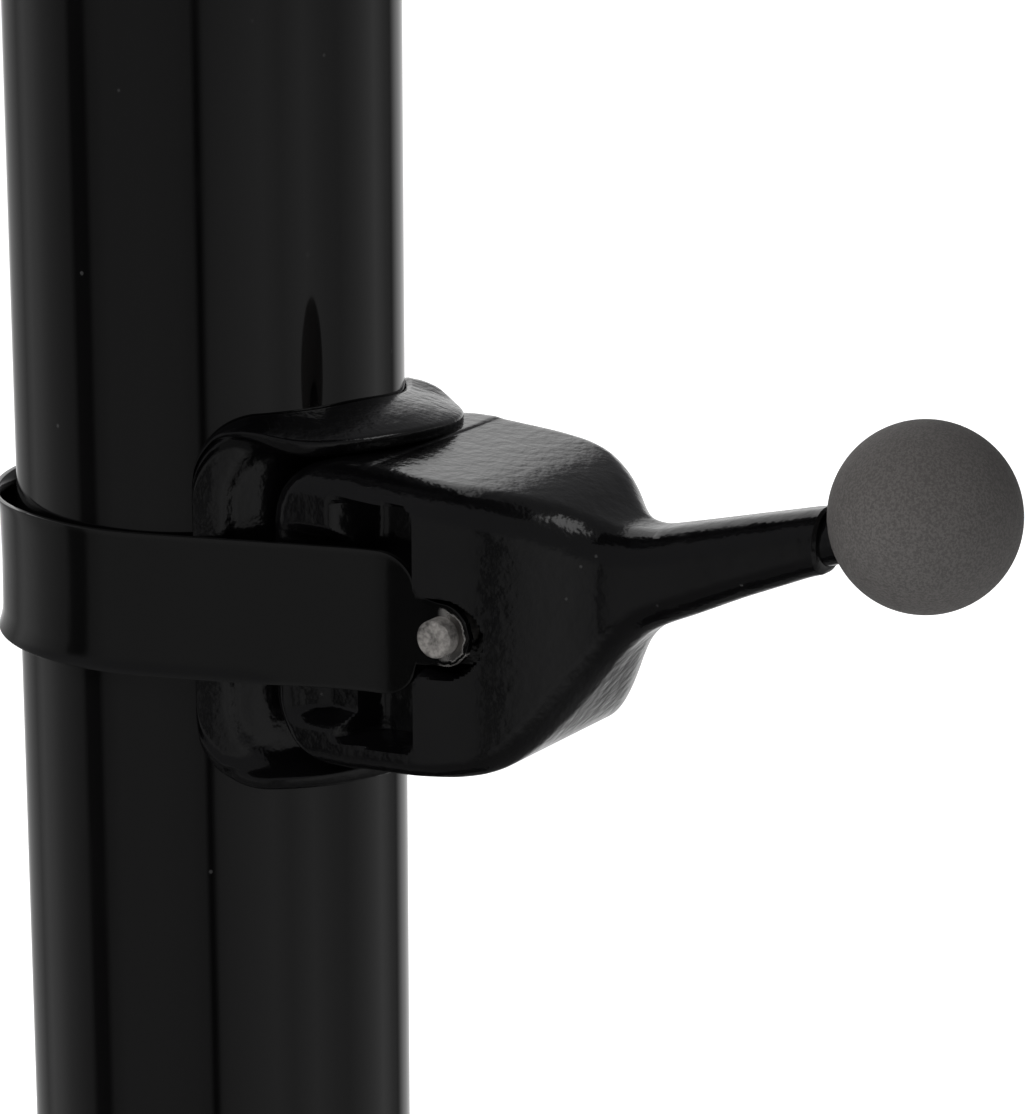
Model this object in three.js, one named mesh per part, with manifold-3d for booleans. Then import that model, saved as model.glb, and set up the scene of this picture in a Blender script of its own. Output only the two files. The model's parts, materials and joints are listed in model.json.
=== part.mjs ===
// A music stand: a round weighted base, a telescopic column held by a strap clamp with a ball lever,
// and a tilting sheet-steel desk. Millimetres, +Z up, the origin on the floor on the column's axis.
// The player stands on the -Y side, and the clamp lever points to the player's right, along +X.
import * as THREE from "three";
import { mergeVertices } from "three/addons/utils/BufferGeometryUtils.js";
import Module from "manifold-3d";

const wasm = await Module();
wasm.setup();

// ---------- Driving dimensions: millimetres and degrees ----------
const GAP = 0.3; // between pieces that rest or run on each other
const FIT = 0.1; // between the saddle and the tube it hugs
const ROUND = 32; // sides of a large round

const BASE = { radius: 170, edge: 8, crown: 5, bossRadius: 29, bossHeight: 20, socketDepth: 15 };
const BOLT_RECESS = { radius: 15, depth: 8 };
const FLOOR_RING = { width: 16, height: 3, inset: 2 };
const BASE_BOLT = { radius: 4, headRadius: 7, headHeight: 4.6, reach: 26 };
const WASHER = { radius: 11, thickness: 1.6 };
const FOOT_PLUG = { height: 24 };
const BASE_COLLAR = { width: 6, height: 7 };

const OUTER_TUBE = { radius: 15.875, wall: 1.8, top: 700 };
const INNER_TUBE = { wall: 1.5, length: 560, drawn: 200 };
const GUIDE_BUSH = { wall: 0.775, depth: 40, flangeHeight: 4, flangeOverhang: 0.6 };
const SLIDER_BUSH = { flange: 12, spigot: 14, bore: 5 };

const CLAMP_HEIGHT = 630; // the lever pin's height above the floor
const SHOE = { halfWidth: 5.7, halfHeight: 8.7 };
const SADDLE = {
  thickness: 0.9, halfHeight: 15, strapLead: 16.6, corner: 5, lip: 1.4, topReach: 4.6, footReach: 2.8,
};
const STRAP = {
  standoff: 0.58, slack: 0.5, thickness: 0.55, halfHeight: 5.7, tabLead: 3.9, tongueRadius: 2.6,
};
const PIN = { radius: 1.5, offset: 13.55, proud: 0.4 };
const CASTING = {
  halfWidth: 12, halfHeight: 12.2, recessDepth: 2, recessHeight: 9.7, cheek: 3.4, bay: 3.1,
};
const CASTING_BACK = 0.45; // play between the casting and the saddle with the clamp released
const STUD = { radius: 2, length: 7 };
const BALL = { radius: 7.23, reach: 35.27, rise: 11.8, insertRadius: 3.2, boreDepth: 9 };

const HEAD = { wall: 3.5, sleeve: 32, cap: 4, lugWidth: 14, lugRadius: 13, pivotRise: 24 };
const HEAD_SCREW = { radius: 2.7, drop: 14 };
const TILT_BOLT = { radius: 4, headRadius: 8, headHeight: 4, tail: 13 };
const DISC = { radius: 12, thickness: 1.2 };
const BRACKET = { sheet: 3, halfWidth: 38, halfHeight: 48, corner: 8 };
const DESK = { width: 500, above: 215, below: 115, sheet: 1.6, setback: 34, lean: 25 };
const DESK_EDGE = { corner: 28, fold: 9 };
const LEDGE = { depth: 56, lip: 13, bend: 5 };
const RIVET = { radius: 2.4, headRadius: 4.6, headHeight: 1.8, spacingX: 56, spacingZ: 76 };
const KNOB = { radius: 18, lobes: 5, lobeDepth: 2.6, thickness: 17, hub: 9, nutRadius: 6.2 };

// ---------- Sizes worked out from them ----------
const plateBottom = FLOOR_RING.height + GAP;
const boltCeiling = plateBottom + BOLT_RECESS.depth;
const bossTop = plateBottom + BASE.edge + BASE.crown + BASE.bossHeight;
const tubeBottom = bossTop - BASE.socketDepth;
const tubeBore = OUTER_TUBE.radius - OUTER_TUBE.wall;
const innerRadius = tubeBore - GUIDE_BUSH.wall - 2 * GAP;
const innerTop = OUTER_TUBE.top + INNER_TUBE.drawn;
const innerBore = innerRadius - INNER_TUBE.wall;
const saddleInner = OUTER_TUBE.radius + FIT;
const saddleOuter = saddleInner + SADDLE.thickness;
const pinX = OUTER_TUBE.radius + PIN.offset;
const recessFloor = CASTING.halfWidth - CASTING.recessDepth;
const tabY = recessFloor + GAP + STRAP.thickness / 2;
const strapRadius = OUTER_TUBE.radius + STRAP.standoff + STRAP.thickness / 2;
const strapBendX = pinX - STRAP.tabLead;
const strapReach = Math.hypot(strapBendX + STRAP.slack, tabY);
const strapLeave = Math.atan2(tabY, strapBendX + STRAP.slack) + Math.acos(strapRadius / strapReach);
const saddleHalfAngle = THREE.MathUtils.radToDeg(strapLeave) - SADDLE.strapLead;
const pivotHeight = innerTop + GAP + HEAD.cap + HEAD.pivotRise;
const earInner = HEAD.lugWidth / 2 + DISC.thickness + 2 * GAP;
const earOuter = earInner + BRACKET.sheet;
const panelFace = -DESK.setback;
const panelBack = panelFace + DESK.sheet;
const bracketFace = panelBack + GAP;
const bracketBack = bracketFace + BRACKET.sheet;

// ---------- Materials ----------
const finish = (color, roughness, metalness) =>
  new THREE.MeshStandardMaterial({ color, roughness, metalness });
const glossBlack = finish(0x0b0b0c, 0.18, 0.1);
const satinBlack = finish(0x141415, 0.4, 0.1);
const softGrey = finish(0x4a4948, 0.85, 0);
const bareSteel = finish(0x8a8a8a, 0.35, 1);
const brass = finish(0xb08d4f, 0.35, 1);
const nylon = finish(0x1b1b1c, 0.6, 0);
const rubber = finish(0x161616, 0.9, 0);

// ---------- Solids ----------
function solid(geometry) {
  const bare = geometry.index ? geometry.toNonIndexed() : geometry.clone();
  bare.deleteAttribute("normal");
  bare.deleteAttribute("uv");
  const merged = mergeVertices(bare, 1e-4);
  const vertProperties = merged.attributes.position.array;
  const triVerts = new Uint32Array(merged.index.array);
  return new wasm.Manifold(new wasm.Mesh({ numProp: 3, vertProperties, triVerts }));
}

function geometryOf(made) {
  const mesh = made.getMesh();
  const geometry = new THREE.BufferGeometry();
  geometry.setAttribute("position", new THREE.BufferAttribute(mesh.vertProperties, 3));
  geometry.setIndex(new THREE.BufferAttribute(mesh.triVerts, 1));
  geometry.computeVertexNormals();
  return geometry;
}

const cut = (body, ...tools) =>
  geometryOf(tools.reduce((left, tool) => left.subtract(solid(tool)), solid(body)));
const join = (...bodies) => geometryOf(bodies.map(solid).reduce((all, body) => all.add(body)));
const common = (...bodies) => geometryOf(bodies.map(solid).reduce((all, body) => all.intersect(body)));

// A solid of revolution about +Z from [radius, height] points, listed anticlockwise.
function revolve(points, sides = ROUND) {
  const profile = points.map(([radius, height]) => new THREE.Vector2(radius, height));
  return new THREE.LatheGeometry(profile, sides).rotateX(Math.PI / 2);
}

const ring = (inner, outer, bottom, top, sides) =>
  revolve([[inner, bottom], [outer, bottom], [outer, top], [inner, top], [inner, bottom]], sides);
const disc = (radius, bottom, top, sides) =>
  revolve([[0, bottom], [radius, bottom], [radius, top], [0, top]], sides);

// A box from its low and high corners.
function block([x0, y0, z0], [x1, y1, z1]) {
  const box = new THREE.BoxGeometry(x1 - x0, y1 - y0, z1 - z0);
  return box.translate((x0 + x1) / 2, (y0 + y1) / 2, (z0 + z1) / 2);
}

// Rods along X and along Y, from a round made along Z.
const rodX = (radius, x0, x1, sides = 16) => disc(radius, x0, x1, sides).rotateY(Math.PI / 2);
const rodY = (radius, y0, y1, sides = 16) => disc(radius, -y1, -y0, sides).rotateX(Math.PI / 2);

const X = new THREE.Vector3(1, 0, 0);
const Y = new THREE.Vector3(0, 1, 0);
const Z = new THREE.Vector3(0, 0, 1);
const extrude = (shape, depth) =>
  new THREE.ExtrudeGeometry(shape, { depth, bevelEnabled: false, curveSegments: 6 });

// Flat outlines given a thickness: drawn in XZ and thick along Y, or drawn in YZ and thick along X.
const plateXZ = (shape, y0, y1) =>
  extrude(shape, y1 - y0).applyMatrix4(new THREE.Matrix4().makeBasis(X, Z, Y.clone().negate())).translate(0, y1, 0);
const plateYZ = (shape, x0, x1) =>
  extrude(shape, x1 - x0).applyMatrix4(new THREE.Matrix4().makeBasis(Y, Z, X)).translate(x0, 0, 0);

function roundedRectangle(x0, y0, x1, y1, radius) {
  const shape = new THREE.Shape();
  shape.absarc(x1 - radius, y0 + radius, radius, -Math.PI / 2, 0, false);
  shape.absarc(x1 - radius, y1 - radius, radius, 0, Math.PI / 2, false);
  shape.absarc(x0 + radius, y1 - radius, radius, Math.PI / 2, Math.PI, false);
  shape.absarc(x0 + radius, y0 + radius, radius, Math.PI, 1.5 * Math.PI, false);
  return shape;
}

// A wedge of space about the column's axis, within halfAngle degrees of +X.
function wedge(halfAngle, reach, bottom, top) {
  const angle = THREE.MathUtils.degToRad(halfAngle);
  const shape = new THREE.Shape();
  shape.moveTo(0, 0);
  shape.lineTo(reach * Math.cos(angle), -reach * Math.sin(angle));
  shape.absarc(0, 0, reach, -angle, angle, false);
  return extrude(shape, top - bottom).translate(0, 0, bottom);
}

// A closed skin over rings of equally many points, with a fan over each end.
function skin(rings) {
  const sides = rings[0].length;
  const points = rings.flat();
  const index = [];
  for (let row = 0; row < rings.length - 1; row += 1) {
    for (let side = 0; side < sides; side += 1) {
      const here = row * sides + side;
      const next = row * sides + ((side + 1) % sides);
      index.push(here, next, here + sides, next, next + sides, here + sides);
    }
  }
  const last = (rings.length - 1) * sides;
  for (let side = 1; side < sides - 1; side += 1) {
    index.push(0, side + 1, side);
    index.push(last, last + side, last + side + 1);
  }
  return new THREE.BufferGeometry().setFromPoints(points).setIndex(index);
}

// A strip of even thickness that follows a path, as a flat outline.
function stripOutline(path, thickness) {
  const sideOf = (offset) =>
    path.map((point, i) => {
      const before = path[Math.max(i - 1, 0)];
      const after = path[Math.min(i + 1, path.length - 1)];
      const normal = after.clone().sub(before).normalize().rotateAround(new THREE.Vector2(), Math.PI / 2);
      return point.clone().addScaledVector(normal, offset);
    });
  return new THREE.Shape([...sideOf(-thickness / 2), ...sideOf(thickness / 2).reverse()]);
}

const stand = new THREE.Group();

function piece(name, geometry, material, parent = stand) {
  const mesh = new THREE.Mesh(geometry, material);
  mesh.name = name;
  parent.add(mesh);
}

// ---------- Base ----------
function basePlate() {
  const { radius, edge, crown, bossRadius } = BASE;
  const hole = BASE_BOLT.radius + GAP;
  const rim = plateBottom + edge;
  const shoulder = rim + crown;
  const socket = OUTER_TUBE.radius + GAP;
  return revolve([
    [hole, boltCeiling],
    [BOLT_RECESS.radius, boltCeiling],
    [BOLT_RECESS.radius, plateBottom],
    [radius - 1.5, plateBottom],
    [radius, plateBottom + 1.5],
    [radius, rim - 3],
    [radius - 1, rim - 1],
    [radius - 3.5, rim],
    [bossRadius + 16, shoulder],
    [bossRadius + 6, shoulder + 2],
    [bossRadius + 1.5, shoulder + 6],
    [bossRadius - 2, bossTop - 2],
    [bossRadius - 4, bossTop],
    [socket, bossTop],
    [socket, tubeBottom - GAP],
    [hole, tubeBottom - GAP],
    [hole, boltCeiling],
  ], 48);
}

function floorRing() {
  const outer = BASE.radius - FLOOR_RING.inset;
  return ring(outer - FLOOR_RING.width, outer, 0, FLOOR_RING.height, 48);
}

const washerTop = boltCeiling - GAP;
const boltSeat = washerTop - WASHER.thickness - GAP;

function baseBolt() {
  const head = disc(BASE_BOLT.headRadius, boltSeat - BASE_BOLT.headHeight, boltSeat, 6);
  return join(head, disc(BASE_BOLT.radius, boltSeat - 1, tubeBottom + BASE_BOLT.reach - GAP, 24));
}

const baseWasher = () =>
  ring(BASE_BOLT.radius + GAP, WASHER.radius, washerTop - WASHER.thickness, washerTop, 32);

const footPlug = () =>
  ring(BASE_BOLT.radius + GAP, tubeBore - GAP, tubeBottom, tubeBottom + FOOT_PLUG.height);

function baseCollar() {
  const inner = OUTER_TUBE.radius + GAP;
  const outer = inner + BASE_COLLAR.width;
  const bottom = bossTop + GAP;
  const top = bottom + BASE_COLLAR.height;
  return revolve([
    [inner, bottom],
    [outer, bottom],
    [outer, bottom + 2],
    [inner + 3, top - 1],
    [inner + 1.5, top],
    [inner, top],
    [inner, bottom],
  ]);
}

// ---------- Column ----------
// The outer tube has a window on its lever side, where the brake shoe reaches the inner tube.
function outerTube() {
  const tube = ring(tubeBore, OUTER_TUBE.radius, tubeBottom, OUTER_TUBE.top);
  const side = SHOE.halfWidth + GAP;
  const end = SHOE.halfHeight + GAP;
  const near = [tubeBore - 4, -side, CLAMP_HEIGHT - end];
  const far = [OUTER_TUBE.radius + 1, side, CLAMP_HEIGHT + end];
  const window = block(near, far);
  return cut(tube, window);
}

function guideBush() {
  const inner = innerRadius + GAP;
  const sleeve = tubeBore - GAP;
  const flange = OUTER_TUBE.radius + GUIDE_BUSH.flangeOverhang;
  const seat = OUTER_TUBE.top + GAP;
  const top = seat + GUIDE_BUSH.flangeHeight;
  return revolve([
    [inner, OUTER_TUBE.top - GUIDE_BUSH.depth],
    [sleeve, OUTER_TUBE.top - GUIDE_BUSH.depth],
    [sleeve, seat],
    [flange, seat],
    [flange, top - 1.2],
    [flange - 1.2, top],
    [inner, top],
    [inner, OUTER_TUBE.top - GUIDE_BUSH.depth],
  ]);
}

const innerTube = () => ring(innerBore, innerRadius, innerTop - INNER_TUBE.length, innerTop);

// The slider runs in the outer tube, and the inner tube turns on its spigot.
function sliderBush() {
  const seat = innerTop - INNER_TUBE.length - GAP;
  const outer = tubeBore - GAP;
  const spigot = innerBore - GAP;
  return revolve([
    [SLIDER_BUSH.bore, seat - SLIDER_BUSH.flange],
    [outer - 1, seat - SLIDER_BUSH.flange],
    [outer, seat - SLIDER_BUSH.flange + 1],
    [outer, seat],
    [spigot, seat],
    [spigot, seat + SLIDER_BUSH.spigot],
    [SLIDER_BUSH.bore, seat + SLIDER_BUSH.spigot],
    [SLIDER_BUSH.bore, seat - SLIDER_BUSH.flange],
  ]);
}

// ---------- Clamp, made about the pin's height ----------
const clamp = new THREE.Group();
clamp.position.z = CLAMP_HEIGHT;
stand.add(clamp);

function brakeShoe() {
  const { halfWidth, halfHeight } = SHOE;
  const pad = ring(innerRadius + GAP, OUTER_TUBE.radius - FIT, -halfHeight, halfHeight);
  return common(pad, block([0, -halfWidth, -halfHeight], [OUTER_TUBE.radius + 1, halfWidth, halfHeight]));
}

// A pressed tray that hugs the tube, with a lip turned out along its top and its foot.
function clampSaddle() {
  const { halfHeight, corner, lip, topReach, footReach } = SADDLE;
  const shell = ring(saddleInner, saddleOuter, -halfHeight, halfHeight);
  const top = ring(saddleInner, saddleOuter + topReach, halfHeight - lip, halfHeight);
  const foot = ring(saddleInner, saddleOuter + footReach, -halfHeight, lip - halfHeight);
  const side = saddleOuter * Math.sin(THREE.MathUtils.degToRad(saddleHalfAngle));
  const front = roundedRectangle(-side, -halfHeight, side, halfHeight, corner);
  const outline = plateYZ(front, 0, saddleOuter + 10);
  const reach = 2 * (saddleOuter + topReach);
  const spread = wedge(saddleHalfAngle, reach, -halfHeight - 1, halfHeight + 1);
  return common(join(shell, top, foot), outline, spread);
}

// The strap's middle line: a tab beside the casting, straight to the tube, round it and back.
function strapPath() {
  const tip = pinX + STRAP.tongueRadius + 1;
  const path = new THREE.Path();
  path.moveTo(tip, -tabY);
  path.lineTo(strapBendX, -tabY);
  path.absarc(-STRAP.slack, 0, strapRadius, -strapLeave, strapLeave, true);
  path.lineTo(strapBendX, tabY);
  path.lineTo(tip, tabY);
  return path.getPoints(16);
}

function clampStrap() {
  const { halfHeight, tabLead, tongueRadius, thickness } = STRAP;
  const band = extrude(stripOutline(strapPath(), thickness), 2 * halfHeight).translate(0, 0, -halfHeight);
  const far = -2 * OUTER_TUBE.radius;
  const side = new THREE.Shape();
  side.moveTo(far, -halfHeight);
  side.lineTo(pinX - 1.6 * tabLead, -halfHeight);
  side.quadraticCurveTo(pinX - 0.9 * tabLead, -halfHeight, pinX - 0.4 * tabLead, -tongueRadius);
  side.absarc(pinX, 0, tongueRadius, -Math.PI / 2, Math.PI / 2, false);
  side.lineTo(pinX - 0.4 * tabLead, tongueRadius);
  side.quadraticCurveTo(pinX - 0.9 * tabLead, halfHeight, pinX - 1.6 * tabLead, halfHeight);
  side.lineTo(far, halfHeight);
  const trimmed = common(band, plateXZ(side, far, -far));
  return cut(trimmed, rodY(PIN.radius + GAP, far, -far).translate(pinX, 0, 0));
}

function clampPin() {
  const half = CASTING.halfWidth + PIN.proud;
  const { radius } = PIN;
  const profile = [
    [0, -half],
    [radius - 0.3, -half],
    [radius, 0.3 - half],
    [radius, half - 0.3],
    [radius - 0.3, half],
    [0, half],
  ];
  return revolve(profile, 24).rotateX(Math.PI / 2).translate(pinX, 0, 0);
}

// One upright section of the casting: a rounded rectangle, squarer where the exponent is larger.
function castingRing(x, top, bottom, halfWidth, exponent) {
  const sides = 28;
  const middle = (top + bottom) / 2;
  const halfHeight = (top - bottom) / 2;
  const bend = (value) => Math.sign(value) * Math.abs(value) ** (2 / exponent);
  return Array.from({ length: sides }, (_, i) => {
    const angle = (2 * Math.PI * (i + 0.5)) / sides;
    return new THREE.Vector3(x, halfWidth * bend(Math.cos(angle)), middle + halfHeight * bend(Math.sin(angle)));
  });
}

// The shallow recess in the casting's side: open at the back, with a round bay about the pin.
function recessOutline() {
  const { recessHeight, bay } = CASTING;
  const front = pinX - 0.8 * bay;
  const shape = new THREE.Shape();
  shape.moveTo(0, -recessHeight);
  shape.lineTo(front - 1, -recessHeight);
  shape.quadraticCurveTo(front, -recessHeight, front, 1 - recessHeight);
  shape.lineTo(front, -2 * bay);
  shape.quadraticCurveTo(front + 0.2, -1.25 * bay, pinX, -bay);
  shape.absarc(pinX, 0, bay, -Math.PI / 2, Math.PI / 2, false);
  shape.quadraticCurveTo(front + 0.2, 1.25 * bay, front, 2 * bay);
  shape.lineTo(front, recessHeight - 1);
  shape.quadraticCurveTo(front, recessHeight, front - 1, recessHeight);
  shape.lineTo(0, recessHeight);
  return shape;
}

// The lever: two cheeks that straddle the saddle, a solid nose, and an arm that rises to the ball.
function leverCasting() {
  const { halfWidth, halfHeight, cheek } = CASTING;
  const narrow = halfWidth - 1.6;
  const armEnd = BALL.reach - BALL.radius - 1;
  // Distance ahead of the pin, top, bottom, half width, exponent.
  const sections = [
    [-17.4, halfHeight - 4.6, 4.6 - halfHeight, halfWidth, 12],
    [-15.5, halfHeight - 3.4, 3.4 - halfHeight, halfWidth, 12],
    [-14.4, halfHeight - 1.5, 1.5 - halfHeight, halfWidth, 12],
    [-12.9, halfHeight - 0.4, 0.4 - halfHeight, halfWidth, 12],
    [-10.4, halfHeight, -halfHeight, halfWidth, 12],
    [2, halfHeight - 0.9, 0.9 - halfHeight, halfWidth - 1, 11],
    [4.6, halfHeight - 1.1, 1.1 - halfHeight, narrow, 9],
    [6.1, halfHeight - 1.6, 2.6 - halfHeight, narrow - 0.6, 8],
    [7.6, halfHeight - 2.3, 4.8 - halfHeight, narrow - 1.8, 6],
    [9.1, halfHeight - 3.2, 7.2 - halfHeight, narrow - 3.4, 5],
    [10.6, halfHeight - 4, 9.6 - halfHeight, narrow - 5.2, 4],
    [12.1, 8, -0.9, 4, 3.4],
    [14.1, 8.4, 0.2, 3.5, 3.2],
    [16.6, 8.9, 1.4, 3.2, 3.2],
    [20.6, 9.9, 3.3, 2.9, 3.2],
    [24.9, 10.9, 5.3, 2.7, 3],
    [armEnd, 11.4, 6.5, 2.5, 2.6],
  ];
  const body = skin(sections.map(([x, ...rest]) => castingRing(pinX + x, ...rest)));
  const saddleRoom = disc(saddleOuter + CASTING_BACK, -30, 30);
  const upperRoom = disc(saddleOuter + SADDLE.topReach - 1.4, halfHeight - 1.4, 30);
  const lowerRoom = disc(saddleOuter + SADDLE.footReach, -30, 1.4 - halfHeight);
  const inside = recessFloor - cheek;
  const hollow = block([0, -inside, 3 - halfHeight], [pinX - 4, inside, halfHeight - 3]);
  const sideCuts = [
    plateXZ(recessOutline(), -2 * halfWidth, -recessFloor),
    plateXZ(recessOutline(), recessFloor, 2 * halfWidth),
  ];
  const pinHole = rodY(PIN.radius + GAP, -2 * halfWidth, 2 * halfWidth).translate(pinX, 0, 0);
  const shaped = cut(body, saddleRoom, upperRoom, lowerRoom, hollow, ...sideCuts, pinHole);
  const rise = Math.atan2(BALL.rise, BALL.reach);
  const centre = Math.hypot(BALL.reach, BALL.rise);
  const stud = rodX(STUD.radius, centre - BALL.radius - 4, centre - BALL.radius + STUD.length, 20);
  return join(shaped, stud.rotateY(-rise).translate(pinX, 0, 0));
}

// The ball and its threaded insert, made about the arm's axis and turned up to the arm's slope.
const ballGroup = new THREE.Group();
ballGroup.position.set(pinX + BALL.reach, 0, BALL.rise);
ballGroup.rotation.y = -Math.atan2(BALL.rise, BALL.reach);
clamp.add(ballGroup);

function ballKnob() {
  const { radius, insertRadius, boreDepth } = BALL;
  const mouth = Math.sqrt(radius ** 2 - insertRadius ** 2);
  const steps = 12;
  const profile = Array.from({ length: steps + 1 }, (_, i) => {
    const start = Math.atan2(-mouth, insertRadius);
    const angle = start + ((Math.PI / 2 - start) * i) / steps;
    return i === steps ? [0, radius] : [radius * Math.cos(angle), radius * Math.sin(angle)];
  });
  return revolve([[0, boreDepth - radius], [insertRadius, boreDepth - radius], ...profile], 20)
    .rotateY(Math.PI / 2);
}

function knobInsert() {
  const { radius, insertRadius, boreDepth } = BALL;
  const bottom = 0.4 - radius;
  const top = boreDepth - radius - GAP;
  return ring(STUD.radius + GAP, insertRadius - GAP, bottom, top, 24).rotateY(Math.PI / 2);
}

// ---------- Tilt head, on top of the inner tube ----------
function tiltHead() {
  const inner = innerRadius + GAP;
  const outer = inner + HEAD.wall;
  const capTop = innerTop + GAP + HEAD.cap;
  const bottom = innerTop - HEAD.sleeve;
  const sleeve = revolve([
    [inner, bottom],
    [outer - 1, bottom],
    [outer, bottom + 1],
    [outer, capTop - 3],
    [outer - 3, capTop],
    [0, capTop],
    [0, innerTop + GAP],
    [inner, innerTop + GAP],
    [inner, bottom],
  ]);
  const half = HEAD.lugWidth / 2;
  const cheekShape = new THREE.Shape();
  cheekShape.moveTo(-HEAD.lugRadius, capTop - 1);
  cheekShape.lineTo(HEAD.lugRadius, capTop - 1);
  cheekShape.absarc(0, pivotHeight, HEAD.lugRadius, 0, Math.PI, false);
  const hole = rodX(TILT_BOLT.radius + GAP, -half - 1, half + 1).translate(0, 0, pivotHeight);
  const screwHole = rodY(HEAD_SCREW.radius + GAP, inner - 1, outer + 1, 16);
  const lug = plateYZ(cheekShape, -half, half);
  return cut(join(sleeve, lug), hole, screwHole.translate(0, 0, innerTop - HEAD_SCREW.drop));
}

function headScrew() {
  const inner = innerRadius + GAP;
  const screw = rodY(HEAD_SCREW.radius, inner, inner + HEAD.wall - 0.5, 16);
  return screw.translate(0, 0, innerTop - HEAD_SCREW.drop);
}

const frictionDisc = (side) => {
  const near = HEAD.lugWidth / 2 + GAP;
  const flat = ring(TILT_BOLT.radius + GAP, DISC.radius, near, near + DISC.thickness, 32);
  return flat.rotateY((side * Math.PI) / 2).translate(0, 0, pivotHeight);
};

// ---------- Desk, made upright about the tilt bolt's axis ----------
const desk = new THREE.Group();
desk.position.z = pivotHeight;
desk.rotation.x = -THREE.MathUtils.degToRad(DESK.lean);
stand.add(desk);

function rivetPlaces() {
  const { spacingX, spacingZ } = RIVET;
  return [-1, 1].flatMap((sx) => [-1, 1].map((sz) => [(sx * spacingX) / 2, (sz * spacingZ) / 2]));
}

const rivetHoles = (near, far) =>
  rivetPlaces().map(([x, z]) => rodY(RIVET.radius + GAP, near - 1, far + 1, 16).translate(x, 0, z));

// The panel is a sheet with its top and sides folded back, and a ledge and lip bent out at its foot.
function deskPanel() {
  const { width, above, below, sheet } = DESK;
  const { corner, fold } = DESK_EDGE;
  const half = width / 2;
  const tall = roundedRectangle(-half, -2 * below, half, above, corner);
  const inset = roundedRectangle(sheet - half, -3 * below, half - sheet, above - sheet, corner - sheet);
  const hollow = plateXZ(inset, panelBack, panelFace + fold + 1);
  const pan = cut(plateXZ(tall, panelFace, panelFace + fold), hollow);
  const foot = new THREE.Path();
  const front = panelFace + sheet / 2;
  const lipY = front - LEDGE.depth;
  const floor = -below + sheet / 2;
  foot.moveTo(front, floor + LEDGE.bend + 2);
  foot.absarc(front - LEDGE.bend, floor + LEDGE.bend, LEDGE.bend, 0, -Math.PI / 2, true);
  foot.absarc(lipY + LEDGE.bend, floor + LEDGE.bend, LEDGE.bend, -Math.PI / 2, -Math.PI, true);
  foot.lineTo(lipY, floor + LEDGE.lip);
  const ledge = plateYZ(stripOutline(foot.getPoints(6), sheet), -half, half);
  const low = [-width, panelFace - 1, -3 * below];
  const under = block(low, [width, panelFace + fold + 1, floor + LEDGE.bend]);
  return cut(join(cut(pan, under), ledge), ...rivetHoles(panelFace, panelBack));
}

// A plate on the panel's back with two ears that carry the tilt bolt.
function deskBracket() {
  const { halfWidth, halfHeight, corner } = BRACKET;
  const outline = roundedRectangle(-halfWidth, -halfHeight, halfWidth, halfHeight, corner);
  const plate = plateXZ(outline, bracketFace, bracketBack);
  const ear = new THREE.Shape();
  ear.moveTo(bracketFace + 1, halfHeight - corner);
  ear.lineTo(bracketFace + 1, corner - halfHeight);
  ear.lineTo(bracketBack + 2, corner - halfHeight);
  ear.lineTo(0, -HEAD.lugRadius);
  ear.absarc(0, 0, HEAD.lugRadius, -Math.PI / 2, Math.PI / 2, false);
  ear.lineTo(bracketBack + 2, halfHeight - corner);
  const ears = [plateYZ(ear, -earOuter, -earInner), plateYZ(ear, earInner, earOuter)];
  const boltHole = rodX(TILT_BOLT.radius + GAP, -earOuter - 1, earOuter + 1);
  return cut(join(plate, ...ears), boltHole, ...rivetHoles(bracketFace, bracketBack));
}

// One rivet, domed on the panel's face and on the bracket's back.
function bracketRivet([x, z]) {
  const { radius, headRadius, headHeight } = RIVET;
  const front = panelFace - GAP;
  const back = bracketBack + GAP;
  const dome = (seat) => [
    [0, seat],
    [headRadius, seat],
    [0.75 * headRadius, seat + 0.6 * headHeight],
    [0, seat + headHeight],
  ];
  return join(
    revolve(dome(back), 16).rotateX(-Math.PI / 2),
    revolve(dome(-front), 16).rotateX(Math.PI / 2),
    rodY(radius, front - 0.2, back + 0.2, 16),
  ).translate(x, 0, z);
}

function tiltBolt() {
  const { radius, headRadius, headHeight, tail } = TILT_BOLT;
  const seat = -earOuter - GAP;
  const head = rodX(headRadius, seat - headHeight, seat, 6);
  return join(head, rodX(radius, seat - 1, earOuter + GAP + tail));
}

// A lobed hand knob with a blind hole for its nut, on the lever's side.
function tiltKnob() {
  const { radius, lobes, lobeDepth, thickness, hub, nutRadius } = KNOB;
  const near = earOuter + GAP;
  const points = Array.from({ length: 40 }, (_, i) => {
    const angle = (2 * Math.PI * i) / 40;
    const reach = radius - lobeDepth * (1 - Math.cos(lobes * angle)) / 2;
    return new THREE.Vector2(reach * Math.cos(angle), reach * Math.sin(angle));
  });
  const grip = plateYZ(new THREE.Shape(points), near + 3, near + thickness);
  const boss = rodX(hub, near, near + 4, 32);
  return cut(join(grip, boss), rodX(nutRadius + GAP, near - 1, near + TILT_BOLT.tail + GAP, 24));
}

function tiltKnobNut() {
  const hole = TILT_BOLT.radius + GAP;
  return ring(hole, KNOB.nutRadius, earOuter + 2 * GAP, earOuter + TILT_BOLT.tail, 24).rotateY(Math.PI / 2);
}

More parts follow.
